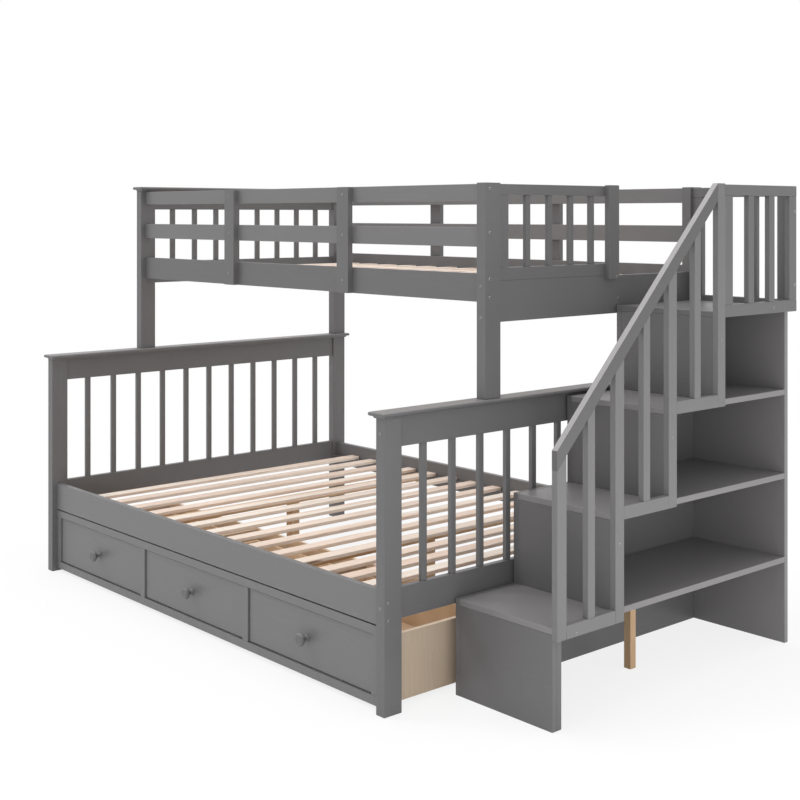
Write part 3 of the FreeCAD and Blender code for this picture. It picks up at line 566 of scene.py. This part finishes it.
def ring_faces(rings, around):
    """Quads between stacked rings of points, each ring with the same number of points."""
    faces = []
    for ring in range(rings - 1):
        for i in range(around):
            j = (i + 1) % around
            low, high = ring * around, (ring + 1) * around
            faces.append((low + i, low + j, high + j, high + i))
    return faces


print("pieces can be made from rings")

# %% [markdown]
# The bead takes the upper two thirds of the cap and the hollow takes the rest. The bead's arc starts
# a few degrees past straight down, so that no point is doubled where the two meet.

# %% Caps with a bead and a hollow
BEAD_SHARE = 2 / 3
BEAD_START = 262                    # degrees; straight down is 270
ARC_STEPS = 8


def cap_profile(thick):
    """The cap's edge from below upwards, as (inset, rise)."""
    bead = thick * BEAD_SHARE / 2
    hollow = thick - 2 * bead
    lower = arc((bead, 0), hollow, 0, 90, ARC_STEPS)
    upper = arc((bead, hollow + bead), bead, BEAD_START, 90, ARC_STEPS * 2)
    return lower + upper


def moulded_cap(node):
    """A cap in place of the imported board: its rectangle, drawn in by the profile at each height."""
    low, high = (Vector(corner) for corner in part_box(node))
    profile = cap_profile(high.z - low.z)
    points = []
    for inset, rise in profile:
        x0, x1, y0, y1 = low.x + inset, high.x - inset, low.y + inset, high.y - inset
        points += [(x, y, low.z + rise) for x, y in ((x0, y0), (x1, y0), (x1, y1), (x0, y1))]
    faces = ring_faces(len(profile), 4)
    faces += [(3, 2, 1, 0), tuple(range(len(points) - 4, len(points)))]
    piece = new_piece("moulded_" + node, points, faces, [top_highlight_paint], "frame")
    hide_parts(node)
    return piece


caps = [moulded_cap(node) for node in ("headboard_cap", "footboard_cap", "upper_head_cap")]
print("caps:", [len(piece.data.polygons) for piece in caps], "faces")

# %% [markdown]
# ## Turned knobs
# Each drawer has a turned wooden knob: a collar against the front, a waisted neck and a wide head
# whose face has a raised rim and a low dome. On the real bed it comes off a lathe, so it is made the
# same way here: one profile, spun round. A subdivided cylinder could be pushed into shape, but the
# profile is easier to read and to change.

# %% Knobs off the lathe
KNOB_SIDES = 48
COLLAR = 0.011                      # radius against the front
COLLAR_ROUND = 0.0015
COLLAR_FLAT = 0.002                 # how far the collar stands out before it turns in
NECK = 0.0068                       # radius behind the head
NECK_START = 0.0065                 # distance out from the front
WAIST = [(0.93, 0.5), (1.1, 0.8), (1.7, 1)]     # shares of the neck's radius and of the way to the head
HEAD_SHARE = 0.44                   # of the knob's whole length
RIM_WIDE = 0.0042
RIM_HIGH = 0.0016
RIM_STEPS = 12
RIM_SLOPE = (0.001, 0.35)           # the rim's inner corner: metres beyond the dome, share of RIM_HIGH
DOME_HIGH = 0.0014
DOME_ANGLES = [math.radians(angle) for angle in (15, 30, 45, 60, 75)]


def turned(profile, centre, sides):
    """Points of a profile of (radius, distance out of the drawer front), spun round a line along Y."""
    points = []
    for radius, out in profile:
        for i in range(sides):
            angle = 2 * math.pi * i / sides
            points.append((centre.x + radius * math.cos(angle), centre.y - out,
                           centre.z + radius * math.sin(angle)))
    return points


def knob_profile(radius, long):
    """The knob's outline from the drawer front outwards, as (radius, distance out)."""
    edge = long * HEAD_SHARE / 2
    back = long - long * HEAD_SHARE
    collar = [(COLLAR, 0)] + arc((COLLAR - COLLAR_ROUND, COLLAR_FLAT), COLLAR_ROUND, 0, 90, 4)
    waist = [(NECK, NECK_START)] + [(NECK * wide, back * far) for wide, far in WAIST]
    rim = arc((radius - edge, back + edge), edge, -90, 90, RIM_STEPS)
    inner = radius - edge - RIM_WIDE
    sunk = long - RIM_HIGH
    face = [(inner + RIM_SLOPE[0], long - RIM_HIGH * RIM_SLOPE[1]), (inner, sunk)]
    dome = [(inner * math.cos(a), sunk + DOME_HIGH * math.sin(a)) for a in DOME_ANGLES]
    return collar + waist + rim + face + dome


def knob(number):
    """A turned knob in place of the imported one, riding on its drawer."""
    node = f"drawer_knob_{number}"
    low, high = (Vector(corner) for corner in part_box(node))
    seat = Vector(((low.x + high.x) / 2, high.y, (low.z + high.z) / 2))
    profile = knob_profile((high.x - low.x) / 2, high.y - low.y)
    points = turned(profile, seat, KNOB_SIDES)
    faces = ring_faces(len(profile), KNOB_SIDES)
    faces += [tuple(range(KNOB_SIDES))[::-1], tuple(range(len(points) - KNOB_SIDES, len(points)))]
    # The knob takes the caps' paint, so its paler top is a painted highlight.
    piece = new_piece("turned_" + node, points, faces, [top_highlight_paint],
                      f"drawer_{number}", smooth_below=40)
    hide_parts(node)
    return piece


knobs = [knob(number) for number in (1, 2, 3)]
print("knobs:", [len(piece.data.vertices) for piece in knobs], "points")

# %% [markdown]
# ## Bolt heads
# The bolts are the kind that come with such a bed: a low round head with a six-sided socket for the
# key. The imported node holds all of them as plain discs, so its loose parts tell where each head sits
# and which way it faces: the thin direction of its box. A boolean could cut the sockets, but a ring of
# points pulled onto a hexagon gives a cleaner mesh.

# %% Find the heads
def loose_parts(node):
    """Low and high corner of each separate solid in a node."""
    mesh = bmesh.new()
    mesh.from_mesh(nodes[node].data)
    bmesh.ops.remove_doubles(mesh, verts=mesh.verts, dist=WELD_REACH)
    left = set(mesh.verts)
    boxes = []
    while left:
        reached = [left.pop()]
        for vertex in reached:
            for edge in vertex.link_edges:
                other = edge.other_vert(vertex)
                if other in left:
                    left.remove(other)
                    reached.append(other)
        places = [vertex.co for vertex in reached]
        boxes.append((Vector(map(min, zip(*places))), Vector(map(max, zip(*places)))))
    mesh.free()
    return sorted(boxes, key=lambda box: tuple(box[0]))


heads = loose_parts("bolt_heads")
print(len(heads), "bolt heads")

# %% [markdown]
# Each head is rings from its rim to the floor of the socket. A point on the hexagon lies at the
# socket's half width divided by the cosine of its angle from the middle of the nearest side.

# %% Heads with a socket
HEAD_SIDES = 36
SOCKET_SHARE = 0.5                  # of the head's radius, to the middle of the hexagon's side
SOCKET_DEPTH = 0.8                  # of the head's height
# Each level's share of the radius, its share of the height, and whether it is six-sided.
LEVELS = [(1.0, 0, False), (1.0, 0.55, False), (0.95, 0.82, False), (0.84, 1.0, False),
          (SOCKET_SHARE, 1.0, True), (SOCKET_SHARE, 1 - SOCKET_DEPTH, True)]
UP = Vector((0, 0, 1))


def hexagon(half_width, angle):
    """Distance from the middle of a hexagon to its edge, in a given direction."""
    side = math.radians(60)
    return half_width / math.cos(angle % side - side / 2)


def head_points(middle, out, side, radius, proud):
    """The points of one head, ring by ring from its base."""
    points = []
    for share, rise, six_sided in LEVELS:
        centre = middle + out * rise * proud
        for i in range(HEAD_SIDES):
            angle = 2 * math.pi * i / HEAD_SIDES
            reach = hexagon(share * radius, angle) if six_sided else share * radius
            points.append(centre + (side * math.cos(angle) + UP * math.sin(angle)) * reach)
    return points


print("a head has", len(LEVELS), "rings")

# %% [markdown]
# All the heads go into one piece, as they do in the imported node. The socket's walls and floor take the
# dark finish, a painted shade, which is the piece's second material.

# %% All the heads in one piece
points = []
faces = []
painted_shade_faces = []
for low, high in heads:
    size = high - low
    faces_x = size.x < size.y
    out = Vector((1, 0, 0)) if faces_x else Vector((0, -1, 0))
    side = Vector((0, 1, 0)) if faces_x else Vector((1, 0, 0))
    proud = min(size.x, size.y)
    start = len(points)
    points += head_points((low + high) / 2 - out * proud / 2, out, side, size.z / 2, proud)
    walls = [tuple(start + corner for corner in face) for face in ring_faces(len(LEVELS), HEAD_SIDES)]
    socket_floor = tuple(range(len(points) - HEAD_SIDES, len(points)))
    base = tuple(start + i for i in range(HEAD_SIDES))[::-1]
    new_faces = walls + [socket_floor, base]
    if out.cross(side).dot(UP) < 0:
        new_faces = [face[::-1] for face in new_faces]
    painted_shade_faces += [len(faces) + i for i in range(len(walls) - HEAD_SIDES, len(walls) + 1)]
    faces += new_faces
bolt_piece = new_piece("socket_bolt_heads", points, faces, [zinc, socket_painted_shade],
                       "frame", smooth_below=40)
for number in painted_shade_faces:
    bolt_piece.data.polygons[number].material_index = 1
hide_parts("bolt_heads")
print(len(faces), "faces on the bolt heads")

# %% [markdown]
# ## Room and light
# The studio is a white floor that runs off to a white surround, and the floor keeps a faint shadow, so
# that the bed stands on something. The floor could be lit until it turned white, but that much light
# would wash the bed out. Instead the camera and the reflections see a share of the floor as glowing
# white, and the share rises to the whole far from the bed.

# %% Floor
REACH = 14.0


def seen_as_white(tree):
    """1 for the camera's rays and for mirrored or clear ones, 0 for those that carry light."""
    rays = add(tree, "LightPath").outputs
    not_direct = calc(tree, "MAXIMUM", rays["Is Glossy Ray"], rays["Is Transmission Ray"])
    return calc(tree, "MAXIMUM", rays["Is Camera Ray"], not_direct)


floor_mesh = bpy.data.meshes.new("floor")
corners = [(-REACH, -REACH, 0), (REACH, -REACH, 0), (REACH, REACH, 0), (-REACH, REACH, 0)]
floor_mesh.from_pydata(corners, [], [(0, 1, 2, 3)])
floor = bpy.data.objects.new("floor", floor_mesh)
bpy.context.collection.objects.link(floor)
floor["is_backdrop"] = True
print("floor laid")

# %% [markdown]
# The floor's look mixes plain matt white with the glow. Near the bed the glow stays short of the
# whole, which is what keeps the faint shadow.

# %% The floor's look
FLOOR_GLOW = 0.82
GLOW_RISES = 2.0                    # metres from the middle of the bed
GLOW_WHOLE = 5.0

floor_look = bpy.data.materials.new("floor_white")
floor_look.use_nodes = True
tree = floor_look.node_tree
tree.nodes.clear()
matt = add(tree, "BsdfDiffuse", {"Color": (0.92, 0.92, 0.92, 1)})
white = add(tree, "Emission", {"Color": (1, 1, 1, 1), "Strength": 1.0})
place = add(tree, "NewGeometry").outputs["Position"]
distance = add(tree, "VectorMath", {0: place}, operation="LENGTH").outputs["Value"]
far = smooth_between(tree, distance, GLOW_RISES, GLOW_WHOLE)
glow = calc(tree, "ADD", FLOOR_GLOW, calc(tree, "MULTIPLY", far, 1 - FLOOR_GLOW))
share = calc(tree, "MULTIPLY", seen_as_white(tree), glow)
mixed = add(tree, "MixShader", {0: share, 1: matt.outputs[0], 2: white.outputs[0]})
add(tree, "OutputMaterial", {"Surface": mixed.outputs[0]})
floor_mesh.materials.append(floor_look)
print("floor glows by", FLOOR_GLOW, "near the bed")

# %% [markdown]
# The world gives the even fill. The camera and reflections see it as white, while the light that it
# sheds on the bed is lower.

# %% World
FILL_LIGHT = 0.78

world = bpy.data.worlds.new("studio")
bpy.context.scene.world = world
world.use_nodes = True
tree = world.node_tree
tree.nodes.clear()
dim = add(tree, "Background", {"Color": (1, 1, 1, 1), "Strength": FILL_LIGHT})
bright = add(tree, "Background", {"Color": (1, 1, 1, 1), "Strength": 1.0})
mixed = add(tree, "MixShader", {0: seen_as_white(tree), 1: dim.outputs[0], 2: bright.outputs[0]})
add(tree, "OutputWorld", {"Surface": mixed.outputs[0]})
print("fill light", FILL_LIGHT)

# %% [markdown]
# Four lamps add the shape. A weak, soft sun from the front left leaves faint shadows beside the
# stiles. A broad lamp overhead brightens the slats and caps. One beside the viewer reaches into the
# cubbies, and a low one beside the stairs makes the balustrade the palest painted part.

# %% Lamps
SUN_ANGLE = math.radians(14)
# Name, place, target, width in metres and power in watts.
PANELS = [("stair_lamp", (2.35, 0.25, 0.3), (1.2, 0.1, 0.45), 0.9, 5.4),
          ("front_lamp", (4.4, -3.2, 1.1), (0.6, 0, 0.6), 2.0, 27),
          ("overhead", (0, 0, 6), (0, 0, 0), 4.0, 130)]


def lamp(name, kind, place, target, energy):
    """A lamp aimed at a point, and not itself seen by the camera."""
    data = bpy.data.lights.new(name, kind)
    data.energy = energy
    holder = bpy.data.objects.new(name, data)
    holder.location = place
    holder.rotation_euler = (Vector(target) - Vector(place)).to_track_quat("-Z", "Y").to_euler()
    holder.visible_camera = False
    bpy.context.collection.objects.link(holder)
    return data


sky = lamp("skylight", "SUN", (-3.0, -2.0, 4.2), (0, 0, 0), 0.5)
sky.angle = SUN_ANGLE
for name, place, target, width, power in PANELS:
    lamp(name, "AREA", place, target, power).size = width
bpy.context.scene.view_settings.view_transform = "Standard"
print("lit by", 1 + len(PANELS), "lamps")

# %% Sizes and finish
low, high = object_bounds()
